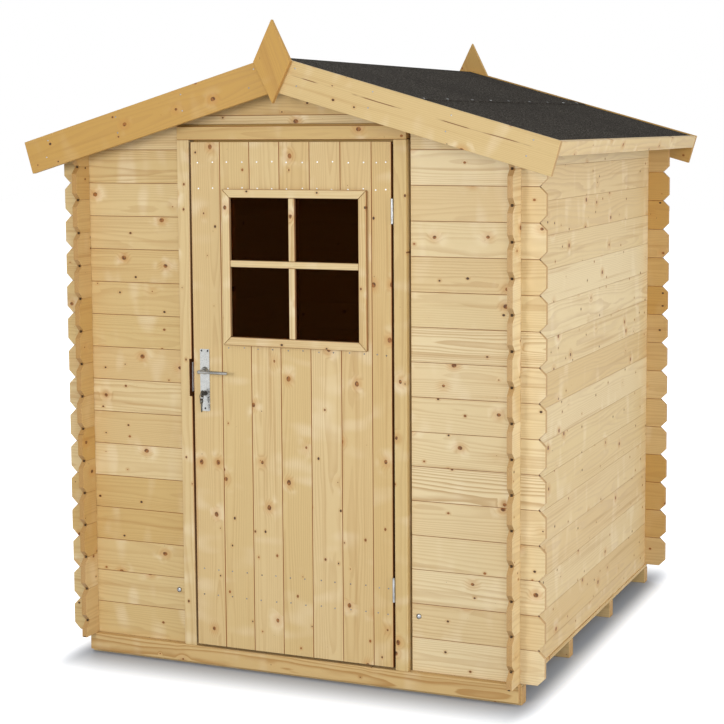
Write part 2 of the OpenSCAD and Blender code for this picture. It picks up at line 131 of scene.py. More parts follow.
def add_board(timber, outline, near, far, place, lengthwise=0, deep=0.4, gold=0.2, joint=0.0, heart=None,
              lined=1.0, vary=0.15, painted_recess=()):
    """Adds one board. outline is in the board's own flat measures, near and far are its two faces,
    place turns the three measures into the shed's x, y and z, and lengthwise is the outline measure
    that runs along the grain. deep and gold set its colour, vary how far gold may stray, joint how
    strongly dirt and painted shade darken the rims along its long edges and painted shade its side faces,
    heart puts the pith of the trunk at that place across the board, lined caps how strongly its rings
    show, and the last argument gives the outline points of a recess whose faces are painted dark as shade."""
    first = len(timber["points"])
    count = len(outline)
    along = [p[lengthwise] for p in outline]
    across = [p[1 - lengthwise] for p in outline]
    middle = (min(across) + max(across)) / 2
    half = (max(across) - min(across)) / 2
    slide = dice.uniform(0.0, trunk_run)
    pith_across = dice.uniform(-pith_aside, pith_aside)
    pith_through = dice.choice((-1, 1)) * dice.uniform(*pith_deep)
    if heart is not None:
        pith_across, pith_through = -heart, -pith_skin
    tone = (deep + dice.uniform(-tone_stray, tone_stray), gold + dice.uniform(-vary, vary),
            lined * dice.uniform(0.0, 1.0))
    for face, depth in ((near, -1.0), (far, 1.0)):
        timber["depth"] += [depth] * count
        for k in range(count):
            timber["points"].append(place(outline[k][0], outline[k][1], face))
            timber["grain"].append((along[k] + slide, across[k] - middle + pith_across,
                                    face - near + pith_through))
            timber["tone"].append(tone)
            # points of the recess are stored as if on a side face at full joint strength, so the finish
            # paints them dark as shade
            timber["edge"].append((half, half, 1.0) if k in painted_recess else (across[k] - middle, half, joint))
    timber["faces"] += [list(range(first, first + count)), list(range(first + count, first + 2 * count))]
    timber["end"] += [0.0, 0.0]
    for k in range(count):
        after = (k + 1) % count
        run = abs(along[after] - along[k])
        rise = abs(across[after] - across[k])
        timber["faces"].append([first + k, first + after, first + count + after, first + count + k])
        timber["end"].append(1.0 if rise > 0.5 * run else 0.0)


def finish_timber(name, timber, body, nodes, finish, round_by=edge_round):
    """Makes the collected boards one object with rounded edges that rides on a body."""
    piece, mesh = new_piece(name, timber, finish)
    for kind in ("grain", "tone", "edge"):
        layer = mesh.attributes.new(kind, "FLOAT_VECTOR", "POINT")
        layer.data.foreach_set("vector", [c for value in timber[kind] for c in value])
    for kind, values, where in (("depth", timber["depth"], "POINT"), ("cut_end", timber["end"], "FACE")):
        layer = mesh.attributes.new(kind, "FLOAT", where)
        layer.data.foreach_set("value", values)
    work = bmesh.new()
    work.from_mesh(mesh)
    bmesh.ops.recalc_face_normals(work, faces=work.faces)
    work.to_mesh(mesh)
    work.free()
    if round_by:
        rounding = piece.modifiers.new("rounded_arris", "BEVEL")
        rounding.width = round_by
        rounding.segments = 2
        rounding.limit_method = "ANGLE"
        rounding.angle_limit = math.radians(25)
        rounding.use_clamp_overlap = True
    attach(piece, body)
    if nodes:
        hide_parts(*nodes)
    print(name, "points:", len(mesh.vertices), "faces:", len(mesh.polygons))


# %% Helpers that place a board
def block(low, high):
    """A rectangle from two corners."""
    return [(low[0], low[1]), (high[0], low[1]), (high[0], high[1]), (low[0], high[1])]


def facing_front(u, v, w):
    return (u, w, v)


def facing_side(u, v, w):
    return (w, u, v)


def lying_flat(u, v, w):
    return (u, v, w)


def add_upright(timber, low, high, **look):
    """Adds a plain board that fills a box and faces the front."""
    add_board(timber, block((low[0], low[2]), (high[0], high[2])), low[1], high[1], facing_front, **look)


print("board helpers ready")

# %% [markdown]
# ## Finish: bare planed pine
# Pine shows growth rings as lines along a board and as arcs on its end, both cut from the same trunk. A
# picture wrapped round the board could not agree on both faces. So the finish works in the trunk's own
# measures: the distance from the pith gives the ring, a slow noise along the trunk makes the lines wander
# into arches, a cell pattern places knots that push the rings aside, and fine streaks give the fibres.


# %% A helper that writes node trees
class Pen:
    """Writes nodes into one tree. A socket given a number is set, one given an output is linked."""

    def __init__(self, tree):
        self.tree = tree

    def fill(self, socket, value):
        if isinstance(value, bpy.types.NodeSocket):
            self.tree.links.new(value, socket)
        else:
            socket.default_value = value

    def give(self, node, inputs):
        """Fills sockets of a node, each named or numbered."""
        for key, value in inputs.items():
            self.fill(node.inputs[key], value)

    def add(self, kind, inputs=None, **settings):
        node = self.tree.nodes.new(kind)
        for key, value in settings.items():
            setattr(node, key, value)
        self.give(node, inputs or {})
        return node

    def math(self, operation, a, b=0.0):
        return self.add("ShaderNodeMath", {0: a, 1: b}, operation=operation).outputs[0]

    def times(self, a, b):
        return self.math("MULTIPLY", a, b)

    def plus(self, a, b):
        return self.math("ADD", a, b)

    def less(self, a, b):
        return self.math("SUBTRACT", a, b)

    def vector(self, operation, a, b=(0.0, 0.0, 0.0)):
        return self.add("ShaderNodeVectorMath", {0: a, 1: b}, operation=operation).outputs

    def ramp(self, value, low, high, start=0.0, stop=1.0):
        """Eases from start to stop while value goes from low to high."""
        inputs = {0: value, 1: low, 2: high, 3: start, 4: stop}
        return self.add("ShaderNodeMapRange", inputs, interpolation_type="SMOOTHSTEP").outputs[0]

    def mix(self, amount, a, b):
        return self.add("ShaderNodeMix", {0: amount, 6: a, 7: b}, data_type="RGBA").outputs[2]

    def noise(self, where, scale=1.0, detail=2.0, rough=0.5):
        inputs = {"Vector": where, "Scale": scale, "Detail": detail, "Roughness": rough}
        return self.add("ShaderNodeTexNoise", inputs).outputs["Fac"]

    def bump(self, height, strength, distance):
        inputs = {"Strength": strength, "Distance": distance, "Height": height}
        return self.add("ShaderNodeBump", inputs).outputs[0]


def linear(red, green, blue):
    """A colour seen as 0 to 255, as the renderer counts light."""
    return tuple(((c / 255 + 0.055) / 1.055) ** 2.4 for c in (red, green, blue)) + (1.0,)


def new_finish(name):
    finish = bpy.data.materials.new(name)
    finish.use_nodes = True
    tree = finish.node_tree
    return finish, Pen(tree), tree.nodes["Principled BSDF"]


print("pen ready")

# %% [markdown]
# ### Knots
# A knot is a branch that the trunk grew round. Painting spots on single boards would be slow, so a pattern
# of cells is laid over the trunk and one cell in a few holds a branch, of its own size. A finer pattern
# gives the pin knots. Both also say how far their swirl reaches, for the rings that bend round them.


# %% Read the boards, and place the knots
def read_board(pen):
    """What each board has stored on its mesh."""
    def stored(name):
        return pen.add("ShaderNodeAttribute", attribute_name=name).outputs

    def parts(name):
        return pen.add("ShaderNodeSeparateXYZ", {0: stored(name)["Vector"]}).outputs

    return {"grain": stored("grain")["Vector"], "place": parts("grain"), "tone": parts("tone"),
            "edge": parts("edge"), "cut_end": stored("cut_end")["Fac"], "depth": stored("depth")["Fac"]}


def drawn_noise(pen, board, along, across, through, **fineness):
    """A noise with its own scale along, across and through the trunk."""
    return pen.noise(pen.vector("MULTIPLY", board["grain"], (along, across, through))[0], **fineness)


def find_knots(pen, board):
    """Branches and pin knots, how far round them the wood is changed, their colours, and where a painted
    glint lies beside a branch.
    """
    branch_scale, branch_most = 7.0, 0.056
    dot_scale, dot_most = 15.0, 0.07
    flat = pen.vector("MULTIPLY", board["grain"], (0.8, 1.0, 0.0))[0]

    def cells(scale):
        found = pen.add("ShaderNodeTexVoronoi", {"Vector": flat, "Scale": scale}, voronoi_dimensions="2D")
        lots = pen.add("ShaderNodeSeparateColor", {0: found.outputs["Color"]}).outputs
        return found.outputs["Distance"], lots

    ragged = pen.times(pen.less(drawn_noise(pen, board, 60, 90, 30), 0.5), 0.022)
    from_branch, lot = cells(branch_scale)
    branch = pen.ramp(lot[0], 0.36, 0.92)
    reach = pen.plus(from_branch, ragged)
    knot_r = pen.times(branch, branch_most)
    rotten = pen.ramp(drawn_noise(pen, board, 120, 120, 40), 0.42, 0.6)
    shining = pen.ramp(drawn_noise(pen, board, 16, 16, 16), 0.48, 0.66)
    from_dot, dot_lot = cells(dot_scale)
    dot_r = pen.times(pen.ramp(dot_lot[0], 0.62, 0.98), dot_most)
    dot_reach = pen.plus(from_dot, pen.times(ragged, 0.6))
    dot_tint = pen.ramp(dot_lot[1], 0.3, 0.9)
    return {"branch": branch,
            "knot": pen.ramp(reach, knot_r, pen.times(knot_r, 0.75)),
            "core": pen.mix(rotten, linear(148, 92, 40), linear(82, 44, 17)),
            "halo": pen.times(pen.ramp(reach, 0.2, 0.03), branch),
            # painted glint: pale patches round a branch knot, standing in for light glancing off it
            "painted_glint": pen.times(pen.ramp(reach, 0.34, 0.08), shining),
            "dot": pen.ramp(dot_reach, dot_r, pen.times(dot_r, 0.7)),
            "speck": pen.mix(dot_tint, linear(54, 28, 12), linear(140, 84, 36)),
            "dot_halo": pen.times(pen.ramp(dot_reach, 0.16, 0.03), pen.ramp(dot_lot[0], 0.72, 0.85))}


print("knots ready")

# %% [markdown]
# ### Rings, pith and fibres
# A tree adds one pale and one dark band each year. Their lines on a board are the trunk's circles cut
# lengthwise, so the finish takes the distance from the pith and lets it wander. Where the pith itself
# comes to the face it is a dark broken line.


# %% Rings, pith and fibres
def find_figure(pen, board, knots):
    """The dark half of each year's growth, the pith, the finer figure of the wood, and the noise that places
    a painted sheen.
    """
    aside, through = board["place"][1], board["place"][2]
    year_w = 0.0056

    def from_pith(sideways):
        return pen.math("SQRT", pen.plus(pen.times(sideways, sideways), pen.times(through, through)))

    wander = pen.times(pen.less(drawn_noise(pen, board, 0.9, 7, 7), 0.5), 0.05)
    ripple = pen.times(pen.less(drawn_noise(pen, board, 5, 30, 30), 0.5), 0.006)
    pushed = pen.plus(pen.times(knots["halo"], 0.009), pen.times(knots["dot_halo"], 0.003))
    radius = pen.plus(pen.plus(from_pith(aside), wander), pen.plus(ripple, pushed))
    year = pen.math("FRACT", pen.math("DIVIDE", radius, year_w))
    sway = pen.plus(aside, pen.times(pen.less(drawn_noise(pen, board, 1.3, 0, 0), 0.5), 0.03))
    broken = pen.ramp(drawn_noise(pen, board, 7, 0, 0), 0.46, 0.56)
    return {"late": pen.times(pen.ramp(year, 0.35, 0.88), pen.ramp(year, 1.0, 0.92)),
            "pith": pen.times(pen.ramp(from_pith(sway), 0.0022, 0.0012), broken),
            "fibre": drawn_noise(pen, board, 9, 800, 800, detail=3.0, rough=0.6),
            "streak": drawn_noise(pen, board, 1.1, 45, 45),
            "cloud": drawn_noise(pen, board, 2.2, 9, 9, detail=1.0),
            "sheen": drawn_noise(pen, board, 12, 5, 5, detail=1.0)}


print("figure ready")

# %% [markdown]
# ### Colours of the wood
# The colour is built as it is seen, from the ground up: pale or golden wood with patches of painted sheen,
# its dark lines, a painted glint beside a knot, the tan halo of a knot, and the knot. Then come the sawn
# ends, with their open pores, and the joints: dirt and painted shade along the rims, painted shade on the
# side faces, and a dark spot painted in the ends for the shade in the groove of the joint.


# %% Colours of the wood
def colour_wood(pen, board, knots, figure, pale, deep, line, gold):
    tone = board["tone"]
    ground = pen.mix(tone[0], pale, deep)
    ground = pen.mix(pen.times(tone[1], 0.9), ground, gold)
    # painted sheen: pale patches standing in for light glancing off the board, stronger on the paler, less
    # golden boards
    highlight_share = pen.ramp(tone[1], 0.1, 0.9, 1.0, 0.25)
    painted_sheen = pen.times(pen.ramp(figure["sheen"], 0.56, 0.76, 0.0, 0.34), highlight_share)
    ground = pen.mix(painted_sheen, ground, linear(240, 224, 190))
    lined = pen.times(pen.ramp(tone[2], 0.66, 0.95), 0.5)
    striped = pen.plus(0.06, pen.plus(pen.times(figure["cloud"], 0.32), lined))
    wood = pen.mix(pen.times(figure["late"], striped), ground, line)
    wood = pen.mix(pen.ramp(figure["streak"], 0.55, 0.78, 0.0, 0.42), wood, line)
    wood = pen.mix(pen.ramp(figure["fibre"], 0.52, 0.8, 0.0, 0.16), wood, line)
    # painted glint beside the branch knots, stronger on the paler boards
    painted_glint = pen.times(pen.times(knots["painted_glint"], highlight_share), pen.times(knots["branch"], 0.6))
    wood = pen.mix(painted_glint, wood, linear(240, 225, 190))
    wood = pen.mix(pen.times(knots["halo"], 0.5), wood, linear(188, 132, 68))
    wood = pen.mix(pen.times(knots["dot_halo"], 0.4), wood, linear(190, 138, 76))
    wood = pen.mix(pen.times(knots["knot"], 0.92), wood, knots["core"])
    wood = pen.mix(pen.times(knots["dot"], 0.95), wood, knots["speck"])
    return pen.mix(pen.times(figure["pith"], 0.85), wood, linear(112, 68, 30))


def colour_ends_and_joints(pen, board, figure, wood):
    aside, half, joint = board["edge"]
    pores = pen.mix(pen.ramp(figure["fibre"], 0.4, 0.65), linear(184, 138, 76), linear(142, 102, 58))
    wood = pen.mix(board["cut_end"], wood, pen.mix(0.7, wood, pores))
    to_edge = pen.less(half, pen.math("ABSOLUTE", aside))
    # dirt and painted shade on the rims of a face next to a joint
    joint_dirt_and_shade = pen.times(pen.ramp(to_edge, 0.002, 0.0006), joint)
    uneven = pen.plus(0.4, pen.times(figure["cloud"], 0.8))
    wood = pen.mix(pen.times(joint_dirt_and_shade, uneven), wood, linear(176, 94, 8))
    # painted shade on a board's side faces, in the gap between two boards or in a recess
    painted_side_shade = pen.times(pen.ramp(to_edge, 0.0005, 0.0001), joint)
    wood = pen.mix(pen.times(painted_side_shade, 0.9), wood, linear(84, 44, 14))
    # painted shade: a dark spot in the middle of a cut end beside a joint, for the shade in the groove of
    # the joint
    middle = pen.ramp(pen.math("ABSOLUTE", board["depth"]), 0.6, 0.35)
    at_joint = pen.times(pen.ramp(to_edge, 0.0048, 0.0028), pen.ramp(joint, 0.0, 0.1))
    painted_groove_shade = pen.times(pen.times(middle, at_joint), board["cut_end"])
    return pen.mix(pen.times(painted_groove_shade, 0.95), wood, linear(34, 18, 8))


def make_pine(name, pale, deep, line, gold):
    finish, pen, shader = new_finish(name)
    board = read_board(pen)
    knots = find_knots(pen, board)
    figure = find_figure(pen, board, knots)
    wood = colour_wood(pen, board, knots, figure, pale, deep, line, gold)
    height = pen.plus(pen.times(figure["fibre"], 0.6), pen.times(figure["late"], 0.4))
    pen.give(shader, {"Base Color": colour_ends_and_joints(pen, board, figure, wood),
                      "Normal": pen.bump(height, 0.25, 0.0006),
                      "Roughness": pen.ramp(figure["late"], 0.0, 1.0, 0.62, 0.5),
                      "Specular IOR Level": 0.3})
    return finish


pine = make_pine("bare_pine", linear(225, 205, 162), linear(204, 175, 117), linear(166, 121, 63),
                 linear(190, 147, 74))
print("finish made:", pine.name)

# %% [markdown]
# ## The gable walls
# On the real shed each wall is a stack of boards on edge. A board's end is cut off at both corners and
# stands out past the crossing wall, and a notch a quarter of its height deep, above and below, lets it
# sit over the boards that cross it. A boolean cut would do it, but a board is a simple outline, so the
# notches are drawn into it. The top boards are cut off along the slope of the roof.


# %% Outline of one log board, and the cut under the roof
def log_outline(low, high, bottom, top, crossings, ends=(True, True), foot=True):
    """Outline of a log board from low to high. crossings are where another wall passes; a cut end
    has its corners taken off, and foot says whether the lower corners are too."""
    down, up = bottom + seam, top - seam
    points = [(low + chamfer, down)] if ends[0] and foot else [(low, down)]
    for a, b in crossings if foot else ():
        points += [(a, down), (a, bottom + quarter), (b, bottom + quarter), (b, down)]
    points += [(high - chamfer, down), (high, bottom + chamfer)] if ends[1] and foot else [(high, down)]
    points += [(high, top - chamfer), (high - chamfer, up)] if ends[1] else [(high, up)]
    for a, b in reversed(crossings):
        points += [(b, up), (b, top - quarter), (a, top - quarter), (a, up)]
    points += [(low + chamfer, up), (low, top - chamfer)] if ends[0] else [(low, up)]
    points += [(low, bottom + chamfer)] if ends[0] and foot else []
    return points


def cut_under_roof(outline, side):
    """Keeps what is under the slope on that side (1 right, -1 left)."""
    def over(p):
        return p[1] - (carried_z - side * p[0] * math.tan(pitch))
    kept = []
    for k, p in enumerate(outline):
        q = outline[(k + 1) % len(outline)]
        if over(p) <= 0:
            kept.append(p)
        if over(p) * over(q) < 0:
            share = over(p) / (over(p) - over(q))
            kept.append((p[0] + share * (q[0] - p[0]), p[1] + share * (q[1] - p[1])))
    return kept


print("log outline ready, corners cut by", chamfer)

# %% Lay the gable walls
least_rise = 0.03


def lay_gable(timber, y_out, y_in, doorway, deep, gold):
    """Lays the courses of one gable wall, with or without the doorway. deep and gold have a value for
    each side of the doorway."""
    crossing = [(-wall_x, -wall_x + wall_t), (wall_x - wall_t, wall_x)]
    for k in range(math.ceil((peak_z - base_z) / course)):
        bottom, top = base_z + k * course, base_z + (k + 1) * course
        under_roof = top < peak_z - log_x * math.tan(pitch)
        laps = crossing if under_roof else []
        long = log_x - dice.uniform(0.0, end_stray)
        if bottom > peak_z - least_rise:
            break
        if doorway and top <= open_z:
            runs = [log_outline(-long, -open_x, bottom, top, laps[:1], (True, False)),
                    log_outline(open_x, long, bottom, top, laps[1:], (False, True))]
        else:
            run = log_outline(-long, long, bottom, top, laps)
            if doorway and bottom < open_z:
                door_cut = [(-open_x, bottom + seam), (-open_x, open_z), (open_x, open_z),
                            (open_x, bottom + seam)]
                run = run[:1] + door_cut + run[1:]
            runs = [run]
        for run, shade, yellow in zip(runs, deep, gold):
            for side in (-1, 1):
                run = cut_under_roof(run, side)
            if len(run) > 2:
                add_board(timber, run, y_out, y_in, facing_front, deep=shade, gold=yellow, joint=0.5,
                          lined=0.84, vary=0.3)


front_boards = start_timber()
lay_gable(front_boards, -wall_y, -wall_y + wall_t, True, (0.65, 0.1), (0.14, 0.02))
finish_timber("front_wall_boards", front_boards, "shed",
              ["front_wall_left", "front_wall_right", "front_gable"], pine)
back_boards = start_timber()
lay_gable(back_boards, wall_y - wall_t, wall_y, False, (0.15,), (0.75,))
finish_timber("back_wall_boards", back_boards, "shed", ["back_wall"], pine)

# %% [markdown]
# ## The side walls
# The side walls start with half a board, so their courses lie half a course higher than those of the
# gable walls and the notches of the two interlock. The top board is planed to the slope of the roof; here
# it is simply cut level at the lower edge of that slope, under the roof boards that hide it.

# %% Lay the side walls
side_walls = (("left_wall", -wall_x, -wall_x + wall_t, 0.72),
              ("right_wall", wall_x - wall_t, wall_x, 0.2))
side_laps = [(-wall_y, -wall_y + wall_t), (wall_y - wall_t, wall_y)]
side_top = carried_z - wall_x * math.tan(pitch)
least_strip = 0.01
for name, x_low, x_high, gold in side_walls:
    side_boards = start_timber()
    bottom = base_z
    while bottom < side_top - least_strip:
        top = base_z + course / 2 if bottom == base_z else bottom + course
        long = log_y - dice.uniform(0.0, end_stray)
        outline = log_outline(-long, long, bottom, top, side_laps, foot=bottom > base_z)
        if top > side_top:
            outline = [(u, min(v, side_top)) for u, v in outline]
        add_board(side_boards, outline, x_low, x_high, facing_side, deep=0.12, gold=gold, joint=0.16,
                  lined=0.74, vary=0.25)
        bottom = top
    finish_timber(name + "_boards", side_boards, "shed", [name], pine, round_by=0.0003)

# %% [markdown]
# ## Floor and base
# The shed stands on four joists with thin floor boards across them, and a plank closes the front. They
# are plain sawn lengths, so each is one outline.

# %% Joists, floor boards and the plinth board
joists = start_timber()
joist_low, joist_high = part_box("floor_joists")
joist_t, joist_count = 0.044, 4
for k in range(joist_count):
    start = joist_low[1] + k * (joist_high[1] - joist_low[1] - joist_t) / (joist_count - 1)
    add_upright(joists, (joist_low[0], start, joist_low[2]), (joist_high[0], start + joist_t, joist_high[2]),
                deep=0.6, gold=0.3)
finish_timber("floor_joist_beams", joists, "shed", ["floor_joists"], pine, round_by=0.002)

floor_boards = start_timber()
low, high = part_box("floor_deck")
floor_count = 14
floor_w = (high[0] - low[0]) / floor_count
for k in range(floor_count):
    left, right = low[0] + k * floor_w + seam, low[0] + (k + 1) * floor_w - seam
    inner = 0 < k < floor_count - 1
    add_board(floor_boards, block((left, low[1]), (right, high[1])), low[2], high[2], lying_flat,
              lengthwise=1, joint=0.8 if inner else 0.0)
finish_timber("floor_deck_boards", floor_boards, "shed", ["floor_deck"], pine)

plinth = start_timber()
add_upright(plinth, *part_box("plinth_board"), deep=0.45, gold=0.55)
finish_timber("plinth_plank", plinth, "shed", ["plinth_board"], pine, round_by=0.002)

# %% [markdown]
# ## The roof timbers
# Everything on a slope is drawn flat, in measures down the slope and square off it, and then turned onto
# the roof. Writing that turn once keeps boarding, bargeboards and eave boards in line, where setting an
# angle on each object would not.


# %% Turn slope measures into places on the roof
def on_slope(side):
    def place(down, off, y):
        return (side * (down * math.cos(pitch) + off * math.sin(pitch)), y,
                peak_z - down * math.sin(pitch) + off * math.cos(pitch))
    return place


def at_ridge(off):
    return (-off * math.tan(pitch), off)


barge_h, eave_h = 0.110, 0.045
barge_foot = barge_top - barge_h
felt_top = roof_t + hairline + felt_t
eave_proud, eave_inset = 0.0015, 0.001
roof_board_count = 20
roof_board_w = 2 * roof_y / roof_board_count
print("roof boards", round(roof_board_w, 4), "m wide on a slope of", round(slope_len, 3))

# %% Boarding, eave boards and bargeboards
deck_end = slope_len - trim_t
deck_section = [at_ridge(0), (deck_end, 0), (deck_end, roof_t), at_ridge(roof_t)]
barge_face = [at_ridge(barge_foot), (slope_len, barge_foot), (slope_len, barge_top), at_ridge(barge_top)]
eave_top = felt_top + eave_proud
eave_face = block((-roof_y + eave_inset, eave_top - eave_h), (roof_y - eave_inset, eave_top))
for side, hand in ((-1, "left"), (1, "right")):
    put = on_slope(side)
    boarding = start_timber()
    for k in range(roof_board_count):
        y = -roof_y + k * roof_board_w
        add_board(boarding, deck_section, y + seam, y + roof_board_w - seam, put, deep=0.5)
    finish_timber("roof_boarding_" + hand, boarding, "shed", ["roof_deck_" + hand], pine)

    def along_eave(u, v, w, put=put):
        return put(w, v, u)

    eave = start_timber()
    add_board(eave, eave_face, deck_end + hairline, slope_len, along_eave, deep=0.1, gold=0.4)
    finish_timber("eave_plank_" + hand, eave, "shed", ["eave_board_" + hand], pine)
    for end, y in (("front", -roof_y - trim_t), ("back", roof_y)):
        pale = (side, end) == (1, "front")
        look = {"deep": 0.6, "gold": 0.15, "heart": 0.012} if pale else {"deep": 0.8, "gold": 1.0}
        barge = start_timber()
        add_board(barge, barge_face, y, y + trim_t, put, lined=0.6, **look)
        finish_timber("bargeboard_plank_%s_%s" % (end, hand), barge, "shed",
                      ["bargeboard_%s_%s" % (end, hand)], pine, 0.0015)

# %% [markdown]
# ## Purlins and finials
# Three purlins carry the boarding inside, and a diamond of planed board is nailed over each peak, where
# it hides the joint of the two bargeboards. The grain of a diamond leans, as it is cut from a wider board.

# %% Purlins and finials
purlins = start_timber()
purlin_names = ["ridge_purlin", "purlin_left", "purlin_right"]
for name in purlin_names:
    low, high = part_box(name)
    level = carried_z - max(abs(low[0]), abs(high[0])) * math.tan(pitch)
    add_board(purlins, block((low[1], low[2]), (high[1], level)), low[0], high[0], facing_side)
finish_timber("roof_purlins", purlins, "shed", purlin_names, pine)

slant = math.radians(20)
for end in ("front", "back"):
    finial = start_timber()
    low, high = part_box("finial_" + end)
    middle = (low[2] + high[2]) / 2

    def leaning(u, v, w, z=middle):
        return (u * math.cos(slant) - v * math.sin(slant), w, z + u * math.sin(slant) + v * math.cos(slant))

    tips = [(low[0], 0), (0, low[2] - middle), (high[0], 0), (0, high[2] - middle)]
    outline = [(x * math.cos(slant) + z * math.sin(slant), z * math.cos(slant) - x * math.sin(slant))
               for x, z in tips]
    add_board(finial, outline, low[1], high[1], leaning, lengthwise=1, deep=0.9, gold=0.95, lined=0.4)
    finish_timber("finial_diamond_" + end, finial, "shed", ["finial_" + end], pine, 0.0015)

# %% [markdown]
# ## The door frame
# Two posts and a head of planed square stock stand proud of the wall. The left post is notched for the
# strike. Battens behind them clamp the cut wall boards and stop the door.

# %% Posts, head and battens
posts = start_timber()
notch_h = 0.125
strike_low, strike_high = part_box("strike_plate")
notch_mid = (strike_low[2] + strike_high[2]) / 2
notch_low, notch_high = notch_mid - notch_h / 2, notch_mid + notch_h / 2
for name, deep in (("door_post_left", 0.35), ("door_post_right", 0.7)):
    low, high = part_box(name)
    outline = block((low[0], low[2]), (high[0], high[2] - seam))
    notch = []
    if name == "door_post_left":
        notch = [(high[0], notch_low), (strike_low[0], notch_low), (strike_low[0], notch_high),
                 (high[0], notch_high)]
    add_board(posts, outline[:2] + notch + outline[2:], low[1], high[1], facing_front, lengthwise=1,
              deep=deep, gold=0.12, painted_recess=range(2, 2 + len(notch)))
head_low, head_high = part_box("door_head")
add_upright(posts, head_low, head_high, deep=0.7, gold=0.4, joint=0.8)
finish_timber("door_frame", posts, "shed", ["door_post_left", "door_post_right", "door_head"], pine,
              round_by=0.0018)

battens = start_timber()
low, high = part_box("frame_battens")
stop_x, stop_cover = 0.351, 0.014
stop_z = head_low[2] - stop_cover
for x0, x1, z0, run in ((low[0], -stop_x, low[2], 1), (stop_x, high[0], low[2], 1),
                        (-stop_x + 2 * seam, stop_x - 2 * seam, stop_z, 0)):
    # the battens take the darkest, most golden tone, which paints shade into the gap round the door
    add_upright(battens, (x0, low[1], z0), (x1, high[1], high[2]), lengthwise=run, deep=1.0, gold=0.9)
finish_timber("inner_battens", battens, "shed", ["frame_battens"], pine)

# %% [markdown]
# ## The door leaf
# Seven matched boards stand side by side with a small vee at every joint. The window is cut through the
# five in the middle: three of them lie in two lengths, and two are notched round its sides. Three ledges
# across the back hold them together.

# %% Door boards
leaf = start_timber()
left_low, left_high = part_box("door_board_left")
right_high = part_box("door_board_right")[1]
pane_low, pane_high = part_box("window_pane")
pane_gap = 0.001
hole_left, hole_right = pane_low[0] - pane_gap, pane_high[0] + pane_gap
hole_low, hole_high = pane_low[2] - pane_gap, pane_high[2] + pane_gap
leaf_front, leaf_back = left_low[1], left_high[1]
foot_z, top_z = left_low[2], left_high[2]
leaf_count = 7
board_w = left_high[0] - left_low[0]
joints = [left_low[0] + k * board_w for k in range(leaf_count)] + [right_high[0]]
for x0, x1 in zip(joints, joints[1:]):
    x0, x1 = x0 + seam, x1 - seam
    if x1 < hole_left or x0 > hole_right:
        runs = [block((x0, foot_z), (x1, top_z))]
    elif x0 < hole_left:
        runs = [[(x0, foot_z), (x1, foot_z), (x1, hole_low), (hole_left, hole_low), (hole_left, hole_high),
                 (x1, hole_high), (x1, top_z), (x0, top_z)]]
    elif x1 > hole_right:
        runs = [[(x0, foot_z), (x1, foot_z), (x1, top_z), (x0, top_z), (x0, hole_high),
                 (hole_right, hole_high), (hole_right, hole_low), (x0, hole_low)]]
    else:
        runs = [block((x0, foot_z), (x1, hole_low)), block((x0, hole_high), (x1, top_z))]
    for outline in runs:
        add_board(leaf, outline, leaf_front, leaf_back, facing_front, lengthwise=1, deep=0.48, gold=0.25,
                  joint=0.9, lined=0.75)
finish_timber("door_boards", leaf, "door", ["door_board_left", "door_board_right", "door_panel"], pine,
              round_by=0.0013)

# %% Ledges
ledges = start_timber()
ledge_low, ledge_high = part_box("door_ledges")
ledge_h, ledge_clear, lock_clear = 0.110, 0.008, 0.007
past_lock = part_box("lock_case")[1][0] + lock_clear
ledge_feet = (ledge_low[2], hole_low - ledge_clear - ledge_h, ledge_high[2] - ledge_h)
for x0, z0 in zip((ledge_low[0], past_lock, ledge_low[0]), ledge_feet):
    add_upright(ledges, (x0, ledge_low[1], z0), (ledge_high[0], ledge_high[1], z0 + ledge_h))
finish_timber("door_ledge_boards", ledges, "door", ["door_ledges"], pine)

# %% [markdown]
# ## The window
# The pane sits in the leaf behind a mitred trim, with beads inside, and two bars cross on each face of it.
# The trim is four lengths, each drawn as the shape between its two mitres.

# %% Trim and beads
trim_low, trim_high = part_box("window_trim")
win_x = (trim_low[0] + trim_high[0]) / 2
win_z = (trim_low[2] + trim_high[2]) / 2
trim_w, hair = 0.028, 0.0003
trim_r = (trim_high[0] - trim_low[0]) / 2
glass_r = trim_r - trim_w
mitred = [(-trim_r + hair, -trim_r), (trim_r - hair, -trim_r), (glass_r - hair, -glass_r),
          (-glass_r + hair, -glass_r)]
trim = start_timber()
for turn in range(4):
    def turned(u, v, w, a=turn * math.pi / 2):
        return (win_x + u * math.cos(a) - v * math.sin(a), w, win_z + u * math.sin(a) + v * math.cos(a))

    add_board(trim, mitred, trim_low[1], trim_high[1], turned, deep=0.45, gold=0.15, joint=0.5)
finish_timber("window_trim_frame", trim, "door", ["window_trim"], pine, round_by=0.003)

beads = start_timber()
bead_low, bead_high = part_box("window_beads")
cover = 0.009
for z in (bead_low[2], bead_high[2] - cover):
    add_upright(beads, (bead_low[0], bead_low[1], z), (bead_high[0], bead_high[1], z + cover))
for x in (bead_low[0], bead_high[0] - cover):
    add_upright(beads, (x, bead_low[1], bead_low[2] + cover + hair),
                (x + cover, bead_high[1], bead_high[2] - cover - hair), lengthwise=1)
finish_timber("window_bead_strips", beads, "door", ["window_beads"], pine)

